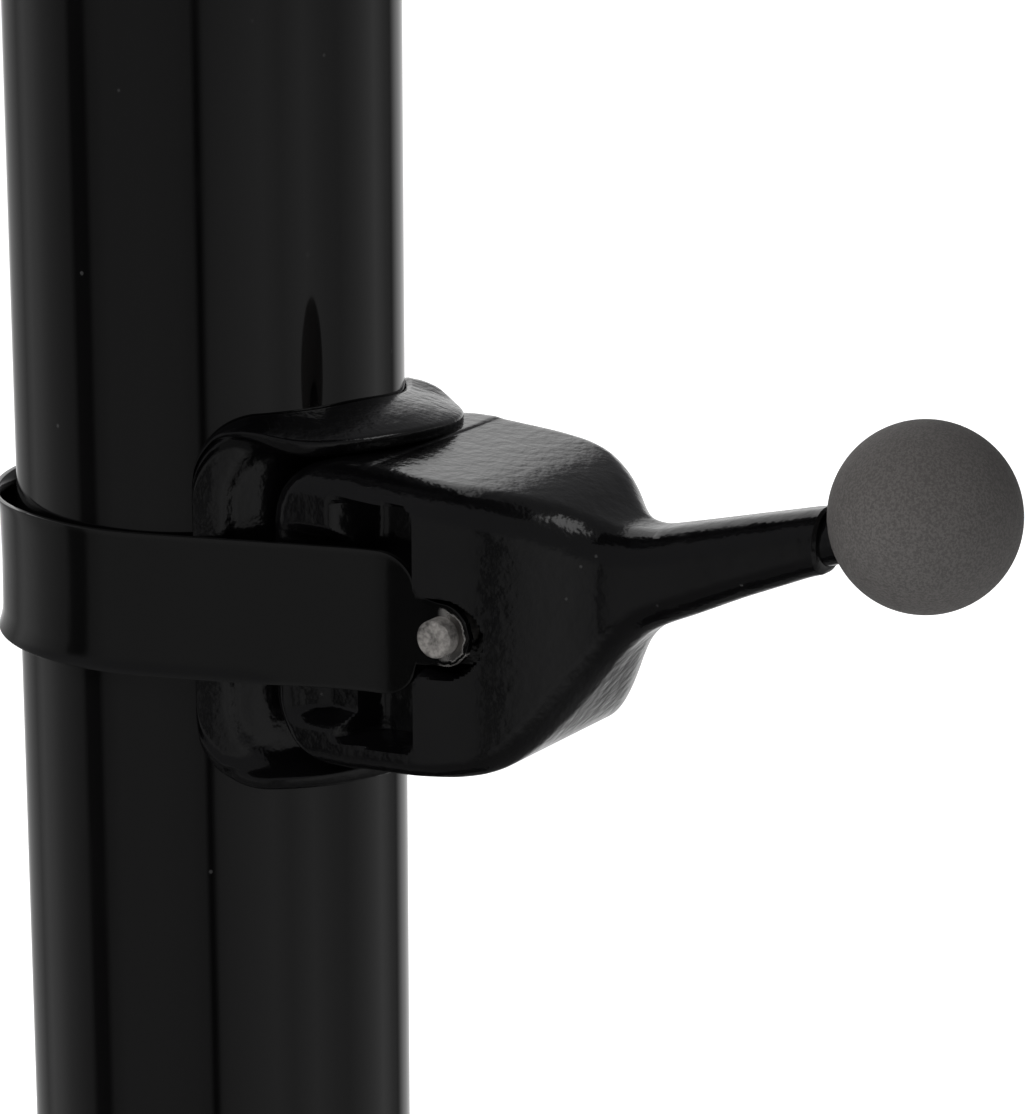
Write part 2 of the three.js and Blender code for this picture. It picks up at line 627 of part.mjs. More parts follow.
// ---------- Assembly ----------
piece("base_plate", basePlate(), satinBlack);
piece("floor_ring", floorRing(), rubber);
piece("base_bolt", baseBolt(), bareSteel);
piece("base_washer", baseWasher(), bareSteel);
piece("foot_plug", footPlug(), bareSteel);
piece("base_collar", baseCollar(), nylon);
piece("outer_tube", outerTube(), glossBlack);
piece("guide_bush", guideBush(), nylon);
piece("inner_tube", innerTube(), glossBlack);
piece("slider_bush", sliderBush(), nylon);
piece("brake_shoe", brakeShoe(), nylon, clamp);
piece("clamp_saddle", clampSaddle(), glossBlack, clamp);
piece("clamp_strap", clampStrap(), satinBlack, clamp);
piece("clamp_pin", clampPin(), bareSteel, clamp);
piece("lever_casting", leverCasting(), glossBlack, clamp);
piece("ball_knob", ballKnob(), softGrey, ballGroup);
piece("knob_insert", knobInsert(), brass, ballGroup);
piece("tilt_head", tiltHead(), satinBlack);
piece("head_screw", headScrew(), bareSteel);
piece("friction_disc_left", frictionDisc(-1), nylon);
piece("friction_disc_right", frictionDisc(1), nylon);
piece("desk_panel", deskPanel(), satinBlack, desk);
piece("desk_bracket", deskBracket(), satinBlack, desk);
rivetPlaces().forEach((place, i) => piece(`bracket_rivet_${i + 1}`, bracketRivet(place), bareSteel, desk));
piece("tilt_bolt", tiltBolt(), bareSteel, desk);
piece("tilt_knob", tiltKnob(), nylon, desk);
piece("tilt_knob_nut", tiltKnobNut(), brass, desk);

export default stand;
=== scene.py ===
import json
import math

import bpy
import numpy as np
from mathutils import Matrix, Vector


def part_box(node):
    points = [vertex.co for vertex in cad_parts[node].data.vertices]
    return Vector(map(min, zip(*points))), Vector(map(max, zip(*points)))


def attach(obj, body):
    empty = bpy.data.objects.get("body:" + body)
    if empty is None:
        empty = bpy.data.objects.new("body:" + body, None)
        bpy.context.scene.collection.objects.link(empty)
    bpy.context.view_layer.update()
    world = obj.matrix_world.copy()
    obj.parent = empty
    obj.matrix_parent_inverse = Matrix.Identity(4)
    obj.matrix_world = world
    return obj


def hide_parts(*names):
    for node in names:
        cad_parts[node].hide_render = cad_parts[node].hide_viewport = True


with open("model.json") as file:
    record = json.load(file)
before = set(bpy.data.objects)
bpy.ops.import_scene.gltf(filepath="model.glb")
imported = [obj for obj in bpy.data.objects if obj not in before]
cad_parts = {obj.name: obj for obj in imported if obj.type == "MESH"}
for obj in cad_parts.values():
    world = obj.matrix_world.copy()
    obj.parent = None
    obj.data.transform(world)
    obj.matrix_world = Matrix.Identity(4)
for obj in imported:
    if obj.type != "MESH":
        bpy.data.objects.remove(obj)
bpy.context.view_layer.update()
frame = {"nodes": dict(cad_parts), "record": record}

MM = 0.001


def box_mm(node):
    """The lowest and the highest corner of a CAD node's box."""
    return [np.array(corner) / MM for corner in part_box(node)]


# ---------- Places taken from the frame ----------
JOINTS = {joint["name"]: joint for joint in frame["record"]["behaviour"]["joints"]}
PIN_X, _, PIN_Z = (value / MM for value in JOINTS["lever_lock"]["pos_m"])
PIVOT_Z = JOINTS["desk_tilt"]["pos_m"][2] / MM
TUBE_BOTTOM, TUBE_TOP = (corner[2] for corner in box_mm("outer_tube"))
TUBE_RADIUS = box_mm("outer_tube")[1][0]
INNER_BOTTOM, INNER_TOP = (corner[2] for corner in box_mm("inner_tube"))
INNER_RADIUS = box_mm("inner_tube")[1][0]
BALL_CENTRE = sum(box_mm("ball_knob")) / 2
OUTER_WALL, INNER_WALL = 1.8, 1.5
GAP = 0.3  # between pieces that fit into each other
DESK_LEAN = math.radians(25)

# ---------- Camera ----------
CAMERA_AZIMUTH = math.radians(31.77)
CAMERA_TILT = math.radians(15.19)
CAMERA_FROM_PIN_HEIGHT = (193.22, -265.20, 88.35)  # from the column's axis at the pin's height


def make_camera():
    """A long lens, level across, aimed down at the clamp from the lever's side."""
    data = bpy.data.cameras.new("camera")
    data.sensor_width = 36
    data.lens = 133.1
    data.clip_start, data.clip_end = 0.01, 100
    camera = bpy.data.objects.new("camera", data)
    back = Vector((
        math.sin(CAMERA_AZIMUTH) * math.cos(CAMERA_TILT),
        -math.cos(CAMERA_AZIMUTH) * math.cos(CAMERA_TILT),
        math.sin(CAMERA_TILT),
    ))
    camera.location = (Vector(CAMERA_FROM_PIN_HEIGHT) + Vector((0, 0, PIN_Z))) * MM
    camera.rotation_euler = (-back).to_track_quat("-Z", "Y").to_euler()
    bpy.context.collection.objects.link(camera)
    bpy.context.scene.camera = camera


make_camera()


# ---------- Shader maths ----------
class Socket:
    """A shader value; +, -, * and / on it add Math nodes."""

    def __init__(self, tree, socket):
        self.tree, self.socket = tree, socket

    def maths(self, operation, *values):
        """A Math node on the given values; the socket itself is one only if it is among them."""
        return self.tree.node("ShaderNodeMath", {"operation": operation}, *values)

    def __add__(self, other):
        return self.maths("ADD", self, other)

    def __sub__(self, other):
        return self.maths("SUBTRACT", self, other)

    def __rsub__(self, other):
        return self.maths("SUBTRACT", other, self)

    def __mul__(self, other):
        return self.maths("MULTIPLY", self, other)

    def __truediv__(self, other):
        return self.maths("DIVIDE", self, other)

    def __pow__(self, other):
        return self.maths("POWER", self, other)

    __radd__ = __add__
    __rmul__ = __mul__

    def between(self, low, high):
        """0 below low, 1 above high, smooth between."""
        settings = {"interpolation_type": "SMOOTHSTEP"}
        return self.tree.node("ShaderNodeMapRange", settings, Value=self, From_Min=low, From_Max=high)


class Tree:
    """The node tree of a material or a world, with one method that adds any node."""

    def __init__(self, owner):
        owner.use_nodes = True
        self.owner = owner
        self.tree = owner.node_tree

    def connect(self, value, socket):
        """Links a shader value to a socket, or sets a plain one on it."""
        if isinstance(value, Socket):
            self.tree.links.new(value.socket, socket)
        elif value is not None:
            socket.default_value = value

    def node(self, kind, settings=None, *values, out=0, **named):
        """Adds a node: its settings first, then its sockets' values by place or by name."""
        made = self.tree.nodes.new(kind)
        for key, value in (settings or {}).items():
            if key == "stops":
                ramp = made.color_ramp.elements
                while len(ramp) < len(value):
                    ramp.new(0.5)
                for element, (place, colour) in zip(ramp, value):
                    element.position, element.color = place, (*colour, 1)
            else:
                setattr(made, key, value)
        for socket, value in zip(made.inputs, values):
            self.connect(value, socket)
        for key, value in named.items():
            self.connect(value, made.inputs[key.replace("_", " ")])
        return Socket(self, made.outputs[out])

    def place(self, centre=(0, 0, 0), scale=(1, 1, 1)):
        """Object coordinates in metres, centred on a point and scaled."""
        coordinates = self.node("ShaderNodeTexCoord", out=3)
        moved = self.node("ShaderNodeVectorMath", {"operation": "SUBTRACT"}, coordinates, centre)
        return self.node("ShaderNodeVectorMath", {"operation": "MULTIPLY"}, moved, scale)

    def split(self, vector):
        """A vector's x, y and z."""
        separate = self.node("ShaderNodeSeparateXYZ", None, vector)
        return [Socket(self, output) for output in separate.socket.node.outputs]

    def noise(self, vector, scale, detail=2.0, roughness=0.5, distortion=0.0):
        return self.node("ShaderNodeTexNoise", None, Vector=vector, Scale=scale, Detail=detail,
                         Roughness=roughness, Distortion=distortion)

    def dust(self, scale):
        """1 on a few tiny specks: near a Voronoi cell's centre, in the cells that a noise picks."""
        cells = self.node("ShaderNodeTexVoronoi", {"feature": "F1"}, Vector=self.place(), Scale=scale)
        picked = self.noise(self.place(), 130, 2).between(0.56, 0.6)
        return (1 - cells.between(0.03, 0.07)) * picked

    def mix(self, factor, first, second):
        """The first colour where the factor is 0, the second where it is 1."""
        blend = self.tree.nodes.new("ShaderNodeMix")
        blend.data_type = "RGBA"
        for value, place in ((factor, 0), (first, 6), (second, 7)):
            self.connect(with_alpha(value), blend.inputs[place])
        return Socket(self, blend.outputs[2])

    def bump(self, height, strength, distance):
        return self.node("ShaderNodeBump", None, Height=height, Strength=strength, Distance=distance)

    def finish(self, kind="Principled BSDF", **sockets):
        """Feeds the closing shader's sockets and hands back the material or the world."""
        shader = self.tree.nodes[kind]
        for key, value in sockets.items():
            self.connect(with_alpha(value), shader.inputs[key.replace("_", " ")])
        return self.owner


def with_alpha(value):
    """A plain colour gains an alpha of 1; anything else stays as it is."""
    return (*value, 1) if isinstance(value, tuple) else value


def new_material(name):
    return Tree(bpy.data.materials.new(name))


# ---------- Materials ----------
PALE_DUST = (0.02, 0.02, 0.02)
GREY_PLASTIC = ((0.046, 0.043, 0.0415), (0.07, 0.0655, 0.063))


def tube_enamel():
    """Gloss black enamel on drawn tube: faint draw lines, dust in the film, and light finger marks."""
    t = new_material("tube_enamel")
    along = t.noise(t.place(scale=(1, 1, 0.03)), 420, 3)
    film = t.noise(t.place(), 55, 2)
    wide = t.noise(t.place(), 14, 1)
    smears = t.noise(t.place(scale=(1, 1, 0.5)), 90, 4, 0.6, 0.6).between(0.52, 0.8)
    height = along * 0.35 + film * 0.65
    black = t.mix(wide, (0.0006, 0.0006, 0.0006), (0.0014, 0.0013, 0.0014))
    return t.finish(
        Base_Color=t.mix(t.dust(300), black, PALE_DUST),
        Roughness=smears * 0.07 + film * 0.03 + 0.035,
        Normal=t.bump(height, 0.03, 0.0004),
        IOR=1.5,
    )


def casting_enamel():
    """Thick gloss enamel on a die casting: orange peel over a slightly uneven skin, dust specks."""
    t = new_material("casting_enamel")
    peel = t.noise(t.place(), 1000, 2, 0.55)
    waves = t.noise(t.place(), 230, 2)
    height = peel + waves * 0.8
    black = t.mix(waves, (0.0006, 0.0006, 0.0007), (0.0016, 0.0015, 0.0017))
    return t.finish(
        Base_Color=t.mix(t.dust(420), black, PALE_DUST),
        Roughness=peel * 0.1 + waves * 0.1 + 0.07,
        Normal=t.bump(height, 0.19, 0.00035),
        IOR=1.5,
    )


def strap_enamel():
    """Gloss enamel on spring strip, with a painted highlight along its edges, worn to bare steel round the
    pin and in a crescent in front of it."""
    t = new_material("strap_enamel")
    fine = t.noise(t.place(), 1600, 2)
    broad = t.noise(t.place(), 120, 2)
    x, y, z = t.split(t.place(centre=(PIN_X * MM, 0, PIN_Z * MM), scale=(1000, 1000, 1000)))
    # a painted highlight: the paint made paler in a band along the strip's top and bottom edges
    edge = z.maths("ABSOLUTE", z).between(5.2, 5.75)
    away = (x * x + z * z) ** 0.5 + (fine - 0.5) * 0.6
    ring = 1 - away.between(1.95, 2.15)
    crescent = away.between(2.3, 2.4) * (0.4 - z).between(1.4, 1.9)
    bare = (ring + crescent) * x.between(-0.6, 0.9)
    # the black paint, brightened by the painted edge highlight
    black = t.mix(edge, (0.001, 0.001, 0.001), (0.003, 0.003, 0.003))
    return t.finish(
        Base_Color=t.mix(bare, black, (0.3, 0.29, 0.28)),
        Metallic=bare,
        Roughness=fine * 0.03 + broad * 0.03 + bare * 0.2 + 0.05,
        Normal=t.bump(fine * 0.4 + broad, 0.04, 0.0003),
    )


def grey_plastic(name):
    """Spark-eroded matt plastic: fine grain with darker pits."""
    t = new_material(name)
    grain = t.noise(t.place(), 5200, 2, 0.65)
    mottled = t.noise(t.place(), 900, 2)
    pits = grain.between(0.38, 0.62)
    return t.finish(
        Base_Color=t.mix(pits, *GREY_PLASTIC),
        Roughness=mottled * 0.12 + 0.62,
        Normal=t.bump(grain + mottled * 0.4, 0.5, 0.00012),
        Specular_IOR_Level=0.35,
    )


def cut_steel(name="cut_steel", tint=(0.3, 0.285, 0.27)):
    """Bare cut steel: pitted grain and a few stains."""
    t = new_material(name)
    grain = t.noise(t.place(), 2600, 4, 0.7)
    stain = t.noise(t.place(), 700, 3).between(0.4, 0.65)
    dark = tuple(0.2 * value for value in tint)
    return t.finish(
        Base_Color=t.mix(stain * 0.5 + grain.between(0.35, 0.65) * 0.5, tint, dark),
        Metallic=0.6,
        Roughness=grain * 0.3 + 0.25,
        Normal=t.bump(grain, 0.35, 0.00012),
    )


def powder_coat(name, grain_size, low, high, rough):
    """Fine textured powder coat: a leathery grain with slight tone changes."""
    t = new_material(name)
    grain = t.noise(t.place(), grain_size, 3, 0.6)
    tone = t.noise(t.place(), 9, 2)
    return t.finish(
        Base_Color=t.mix(tone, low, high),
        Roughness=grain * 0.14 + tone * 0.05 + rough,
        Normal=t.bump(grain, 0.35, 0.0002),
    )


def moulded(name, low, high, rough=0.45):
    """Moulded nylon or rubber: satin skin with faint flow marks."""
    t = new_material(name)
    fine = t.noise(t.place(), 1500, 2)
    flow = t.noise(t.place(scale=(1, 1, 0.3)), 60, 3, 0.5, 0.8)
    return t.finish(
        Base_Color=t.mix(flow, low, high),
        Roughness=fine * 0.12 + flow * 0.1 + rough,
        Normal=t.bump(fine + flow * 0.5, 0.15, 0.0002),
    )


TUBE = tube_enamel()
CASTING = casting_enamel()
STRAP = strap_enamel()
BALL = grey_plastic("soft_ball")
STEEL = cut_steel()
BRASS = cut_steel("turned_brass", (0.62, 0.45, 0.19))
IRON = powder_coat("iron_powder_coat", 900, (0.006, 0.006, 0.006), (0.011, 0.011, 0.011), 0.36)
DESK_COAT = powder_coat("desk_powder_coat", 1300, (0.007, 0.007, 0.007), (0.011, 0.011, 0.0115), 0.4)
NYLON = moulded("nylon", (0.007, 0.007, 0.007), (0.013, 0.013, 0.013))
RUBBER = moulded("rubber", (0.012, 0.012, 0.012), (0.02, 0.02, 0.02), 0.65)
GREY_GRIP = grey_plastic("grey_grip")


# ---------- Surfaces ----------
ALONG_X = np.array([[0, 0, 1], [1, 0, 0], [0, 1, 0]])  # turns a shape made along +Z to lie along +X
ALONG_Y = np.array([[1, 0, 0], [0, 0, 1], [0, -1, 0]])  # and along +Y


def skin(name, grid, along=False, flip=False):
    """A closed mesh over a grid of points (rows, columns, xyz): quads between neighbours, wrapped round
    the columns. The rows wrap round too if along; if not, a fan closes each end row."""
    rows, columns, _ = grid.shape
    number = np.arange(rows * columns).reshape(rows, columns)
    here = number if along else number[:-1]
    ahead = np.roll(number, -1, axis=0) if along else number[1:]
    faces = [np.stack([here, np.roll(here, -1, 1), np.roll(ahead, -1, 1), ahead], -1).reshape(-1, 4)]
    points = grid.reshape(-1, 3)
    if not along:
        points = np.vstack([points, grid[0].mean(0), grid[-1].mean(0)])
        first, last = number[0], number[-1]
        faces.append(np.stack([np.roll(first, -1), first, np.full(columns, rows * columns)], -1))
        faces.append(np.stack([last, np.roll(last, -1), np.full(columns, rows * columns + 1)], -1))
    return mesh_of(name, points, faces, flip)


def mesh_of(name, points, faces, flip=False, crease=32):
    """A smooth-shaded object from points in millimetres and face arrays, sharp past the crease angle."""
    mesh = bpy.data.meshes.new(name)
    lists = [row[::-1] if flip else row for block in faces for row in block.tolist()]
    mesh.from_pydata((points * MM).tolist(), [], lists)
    mesh.validate()
    mesh.shade_smooth()
    mesh.set_sharp_from_angle(angle=math.radians(crease))
    piece = bpy.data.objects.new(name, mesh)
    bpy.context.collection.objects.link(piece)
    return piece


def rounded(profile, radius, steps=5):
    """A closed profile with each corner turned into an arc. The arc's bite is the radius, held to a
    third of the shorter side next to it; its points are a quadratic curve between the two bites."""
    points = np.array(profile, float)
    before, after = np.roll(points, 1, 0) - points, np.roll(points, -1, 0) - points
    reach_before, reach_after = np.linalg.norm(before, axis=1), np.linalg.norm(after, axis=1)
    bite = np.minimum(radius, np.minimum(reach_before, reach_after) / 3)[:, None]
    start = points + before / reach_before[:, None] * bite
    stop = points + after / reach_after[:, None] * bite
    t = np.linspace(0, 1, steps)[None, :, None]
    arcs = start[:, None] * (1 - t) ** 2 + 2 * points[:, None] * t * (1 - t) + stop[:, None] * t ** 2
    return arcs.reshape(-1, 2)


def revolved(name, profile, radius=0.4, sides=128, turn=None, centre=(0, 0, 0), steps=5):
    """A closed (distance, height) profile, its corners rounded, carried round the +Z axis, then turned
    by a 3x3 matrix and moved to a centre."""
    section = rounded(profile, radius, steps)
    angle = np.linspace(0, 2 * math.pi, sides, endpoint=False)[:, None]
    distance, height = section[None, :, 0], section[None, :, 1]
    grid = np.stack([distance * np.cos(angle), distance * np.sin(angle), height + 0 * angle], -1)
    if turn is not None:
        grid = grid @ np.array(turn).T
    return skin(name, grid + centre, along=True, flip=True)


def revolved_solid(name, profile, radius=0.4, sides=96, turn=None, centre=(0, 0, 0), steps=5):
    """An open (distance, height) profile from the bottom of the axis to its top, corners rounded,
    carried round +Z as rings and closed by a fan at each pole."""
    points = np.array(profile, float)
    closed = np.vstack([points, [[-1, points[:, 1].mean()]]])
    corners = rounded(closed, radius, steps).reshape(-1, steps, 2)
    section = corners[1:-2].reshape(-1, 2)  # without the two poles and the point that closed it
    angle = np.linspace(0, 2 * math.pi, sides, endpoint=False)[None, :]
    distance, height = section[:, :1], section[:, 1:]
    grid = np.stack([distance * np.cos(angle), distance * np.sin(angle), height + 0 * angle], -1)
    if turn is not None:
        grid = grid @ np.array(turn).T
    return skin(name, grid + centre)


def smoothstep(value, low, high):
    """0 below low, 1 above high, and 3t^2 - 2t^3 between."""
    t = np.clip((value - low) / (high - low), 0, 1)
    return t * t * (3 - 2 * t)


def add(piece, body, material, *nodes, slot=None):
    """Gives a piece its material and body, and hides the CAD nodes that it stands for; the slot is not
    used.
    """
    piece.data.materials.append(material)
    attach(piece, body)
    if nodes:
        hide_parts(*nodes)
    return piece


# ---------- Column ----------
def hollow(inner, outer, low, high):
    """A pipe's closed profile."""
    return [(inner, low), (outer, low), (outer, high), (inner, high)]


def column():
    """The two tubes and the bush that guides the inner one, all turned."""
    bore = TUBE_RADIUS - OUTER_WALL
    tube = revolved("outer_tube_skin", hollow(bore, TUBE_RADIUS, TUBE_BOTTOM, TUBE_TOP), sides=224)
    add(tube, "base", TUBE, "outer_tube", slot="tube_gloss_black")
    pipe = hollow(INNER_RADIUS - INNER_WALL, INNER_RADIUS, INNER_BOTTOM, INNER_TOP)
    rod = revolved("inner_tube_skin", pipe)
    add(rod, "mast", TUBE, "inner_tube", slot="tube_gloss_black")
    low, high = box_mm("guide_bush")
    seat, hole, sleeve = TUBE_TOP + GAP, INNER_RADIUS + GAP, bore - GAP
    flange, top = high[0], high[2]
    profile = [(hole, low[2]), (sleeve, low[2]), (sleeve, seat), (flange, seat), (flange, top), (hole, top)]
    add(revolved("guide_bush_skin", profile, radius=1.0), "base", NYLON, "guide_bush", slot="nylon_black")


# ---------- Clamp ----------
SADDLE_FLOOR = 0.48  # the tray's floor, its rim band and its inner face, all out from the tube
SADDLE_RIM = 0.95
SADDLE_INNER = 0.06
SADDLE_HALF_ANGLE = 59.2
SADDLE_HALF_HEIGHT = 15.0
SADDLE_CORNER = 5.2
SADDLE_STEP = 13.2  # round the tube from +X to where the rim band drops to the floor


def saddle_bed(across, height):
    """The tray floor's distance from the column's axis: out at the rim band's, outside a rounded box
    in arc length and height, and in at the floor's, inside it."""
    corner, half_height, step = 4, 12.3, 1.3
    wide, up = across - SADDLE_STEP + corner, np.abs(height) - half_height + corner
    away = np.hypot(np.clip(wide, 0, None), np.clip(up, 0, None)) + np.minimum(np.maximum(wide, up), 0)
    return TUBE_RADIUS + SADDLE_FLOOR + (SADDLE_RIM - SADDLE_FLOOR) * smoothstep(away - corner, -0.2, step)


def saddle():
    """A tray bent round the tube. At each angle off +X its section is a closed line of distance and
    height: inner face, foot lip, floor, the underside and tip of the top flange, and its sloping top.
    The lips' reach falls from the middle to the sides as (1 - (angle / limit)^2)^power, and the flange
    droops most in the middle."""
    angle = np.linspace(-SADDLE_HALF_ANGLE, SADDLE_HALF_ANGLE, 221)
    off = np.abs(angle)

    def arch(limit, power):
        return np.clip(1 - (off / limit) ** 2, 0, 1) ** power

    across = np.radians(off) * TUBE_RADIUS
    inset = np.minimum(np.radians(SADDLE_HALF_ANGLE - off) * TUBE_RADIUS, SADDLE_CORNER)
    tall = SADDLE_HALF_HEIGHT - SADDLE_CORNER + np.sqrt(SADDLE_CORNER ** 2 - (SADDLE_CORNER - inset) ** 2)
    upper = tall + 0.15 - 1.15 * smoothstep(angle, -12, 35)
    inner = TUBE_RADIUS + SADDLE_INNER + 0 * angle
    rim = TUBE_RADIUS + SADDLE_RIM
    top = rim + 5.1 * arch(53, 0.9)
    foot = rim + 3.3 * arch(50, 0.8)
    lip = 0.35 + 1.1 * arch(52, 0.6)
    droop = 1 - smoothstep(off, 30, 54)
    low, high, under = lip - tall + 1.4, upper - 1.5 - 2.4 * droop, upper - 0.8 - 2.2 * droop
    floor = [low * (1 - share) + high * share for share in np.linspace(0, 1, 26)]
    corners = [
        (inner, -tall),
        (foot - 0.25, -tall),
        (foot, lip - tall),
        (saddle_bed(across, lip - tall) + 0.35, lip - tall + 0.5),
        *[(saddle_bed(across, height), height) for height in floor],
        (saddle_bed(across, under) + 0.4, under),
        (top - 0.4, upper - 0.5 - 2.4 * droop),
        (top, upper - 0.3 - 1.3 * droop),
        (0.5 * (top + rim), upper - 0.1 - 0.7 * droop),
        (rim + 0 * angle - 0.45, upper),
        (inner, upper - 0.15),
    ]
    profiles = np.moveaxis(np.array(corners), 2, 0)
    section = np.array([rounded(profile, 0.9) for profile in profiles])
    turn = np.radians(angle)[:, None]
    distance, height = section[..., 0], section[..., 1]
    grid = np.stack([distance * np.cos(turn), distance * np.sin(turn), height + PIN_Z], -1)
    piece = skin("clamp_saddle_skin", grid, flip=True)
    add(piece, "base", CASTING, "clamp_saddle", slot="saddle_gloss_black")


STRAP_THICKNESS = 0.55
STRAP_STANDOFF = 0.42  # its inner face off the tube at the sides
STRAP_SLACK = 0.59  # how far the loop hangs back of the column's axis
STRAP_HALF_HEIGHT = 5.72
TAB_FACE = 10.4  # the tab's outer face at its bend, sideways from the middle
TAB_LEAN = 0.07  # how fast the tab leans out towards its tip
TAB_BEND = 23.2  # where the straight run ends and the tab starts, along +X
TONGUE_RADIUS = 2.5


def even_path(path, spacing, reach, spread):
    """A path with evenly spaced points, its corners smoothed by a bell-shaped average."""
    steps = np.concatenate([[0], np.cumsum(np.linalg.norm(np.diff(path, axis=0), axis=1))])
    even = np.linspace(0, steps[-1], 1 + int(steps[-1] / spacing))
    path = np.stack([np.interp(even, steps, path[:, axis]) for axis in (0, 1)], -1)
    padded = np.pad(path, ((reach, reach), (0, 0)), mode="reflect", reflect_type="odd")
    return np.stack([np.convolve(padded[:, axis], bell(reach, spread), "valid") for axis in (0, 1)], -1)


def bell(reach, spread):
    """The weights of a bell-shaped average, which add up to 1."""
    weight = np.exp(-0.5 * (np.arange(-reach, reach + 1) / spread) ** 2)
    return weight / weight.sum()


def strap():
    """A flat strip on a path: a tab, a bend, a straight run to the tube, an arc round it, and back.
    Its half height falls to the tongue's radius along the tab; its edges flare out round the tube."""
    radius = TUBE_RADIUS + STRAP_STANDOFF + STRAP_THICKNESS / 2
    tab_y = TAB_FACE - STRAP_THICKNESS / 2
    reach = math.hypot(TAB_BEND + STRAP_SLACK, tab_y)
    leave = math.atan2(tab_y, TAB_BEND + STRAP_SLACK) + math.acos(radius / reach)
    tip = PIN_X + TONGUE_RADIUS
    arc = np.linspace(leave, 2 * math.pi - leave, 161)
    loop = np.stack([radius * np.cos(arc) - STRAP_SLACK, radius * np.sin(arc)], -1)
    tab_x = np.linspace(tip, TAB_BEND + 0.4, 60)
    tab = np.stack([tab_x, tab_y + TAB_LEAN * (tab_x - TAB_BEND)], -1)
    run = np.linspace((TAB_BEND - 0.6, tab_y), loop[0], 40, endpoint=False)
    half = np.vstack([tab, run])
    path = even_path(np.vstack([half, loop, half[::-1] * [1, -1]]), spacing=0.3, reach=14, spread=5.0)
    along = np.gradient(path, axis=0)
    normal = np.stack([along[:, 1], -along[:, 0]], -1) / np.linalg.norm(along, axis=1)[:, None]
    normal *= np.sign((normal * (path + [STRAP_SLACK, 0])).sum(1))[:, None]
    ahead = path[:, 0] - PIN_X
    tongue = np.sqrt(np.clip(TONGUE_RADIUS ** 2 - np.clip(ahead, 0, None) ** 2, 0.01, None))
    shoulder = np.clip((path[:, 0] - TAB_BEND) / 3.6, 0, 1)
    body = TONGUE_RADIUS + 0.3 + (STRAP_HALF_HEIGHT - TONGUE_RADIUS - 0.3) * np.sqrt(1 - shoulder ** 2)
    body += (TONGUE_RADIUS - body) * smoothstep(path[:, 0], TAB_BEND + 3.2, PIN_X)
    half_height = np.where(ahead > 0, tongue, body)
    turn = np.linspace(0, 2 * math.pi, 64, endpoint=False)
    up, out = (np.sign(value) * np.abs(value) ** 0.16 for value in (np.sin(turn), np.cos(turn)))
    upper_flare = 0.65 * smoothstep(-path[:, :1], 4, 13)
    lower_flare = 0.5 * smoothstep(-path[:, :1], -19, -12)
    flare = np.where(up > 0, upper_flare, lower_flare) * np.abs(up) ** 6
    offset = out * STRAP_THICKNESS / 2 + flare
    grid = np.stack([
        path[:, :1] + normal[:, :1] * offset,
        path[:, 1:] + normal[:, 1:] * offset,
        PIN_Z + half_height[:, None] * up,
    ], -1)
    add(skin("clamp_strap_skin", grid, flip=True), "strap", STRAP, "clamp_strap", slot="strap_satin_black")


def pin():
    """A plain pin across the clamp, its ends turned with a small chamfer."""
    low, high = box_mm("clamp_pin")
    radius, half = (high[0] - low[0]) / 2, high[1]
    across = ((1, 0, 0), (0, 0, -1), (0, 1, 0))
    bevel = 0.22
    profile = [(0, -half), (radius - bevel, -half), (radius, bevel - half), (radius, half - bevel),
               (radius - bevel, half), (0, half)]
    piece = revolved_solid("clamp_pin_skin", profile, radius=0.08, turn=across, centre=(PIN_X, 0, PIN_Z))
    add(piece, "strap", STEEL, "clamp_pin", slot="steel_bare")


# Sections of the casting: distance from the column's axis, top and bottom from the pin's height,
# half width, and the radii of the upper and of the lower corners.
CASTING_SECTIONS = np.array([
    (11.0, 12.2, -12.2, 12.0, 2.9, 1.7),
    (20.0, 12.2, -12.2, 12.0, 2.9, 1.7),
    (27.0, 11.75, -11.85, 11.9, 2.9, 1.7),
    (30.0, 11.5, -11.6, 11.5, 2.9, 1.8),
    (32.0, 11.25, -11.3, 10.8, 3.0, 2.0),
    (33.5, 10.95, -10.8, 9.9, 3.1, 2.3),
    (35.0, 10.5, -9.5, 8.9, 3.3, 2.8),
    (36.5, 9.9, -7.6, 7.6, 3.4, 3.2),
    (38.0, 8.9, -5.4, 6.0, 3.3, 3.3),
    (39.5, 8.1, -3.0, 4.7, 3.0, 3.0),
    (40.8, 7.95, -1.35, 4.1, 3.0, 3.0),
    (42.3, 7.95, 0.0, 3.7, 2.9, 2.9),
    (44.0, 8.4, 0.85, 3.45, 2.85, 2.85),
    (46.0, 8.9, 1.7, 3.25, 2.8, 2.8),
    (50.0, 9.9, 3.6, 3.0, 2.6, 2.6),
    (54.3, 10.95, 5.45, 2.75, 2.3, 2.3),
    (56.5, 11.5, 6.4, 2.65, 2.2, 2.2),
])
NECK = 2.1  # radius of the stud that enters the ball
BALL_RISE = (BALL_CENTRE[2] - PIN_Z) / (BALL_CENTRE[0] - PIN_X)
BACK_CORNER_START, BACK_CORNER = 6.8, 5.4  # where the cheek's round back corner starts and its height
RECESS_HEIGHT = 9.7  # half the pocket's height
RECESS_FRONT = 27.1  # how far forward it reaches
DISH_DEPTH = 2.0
POCKET_DEPTH = 4.2
BAY_RADIUS = 3.15  # the room round the pin
CAVITY = (6.6, 9.0, 25.0)  # half width, half height, and how far forward it reaches
SADDLE_HOLLOW, FLANGE_HOLLOW = 17.35, 20.6  # radii of the hollows that clear the saddle and its flange
CHEEK = 12  # half the width and half the height at the back, which the cavity and the rim scale from


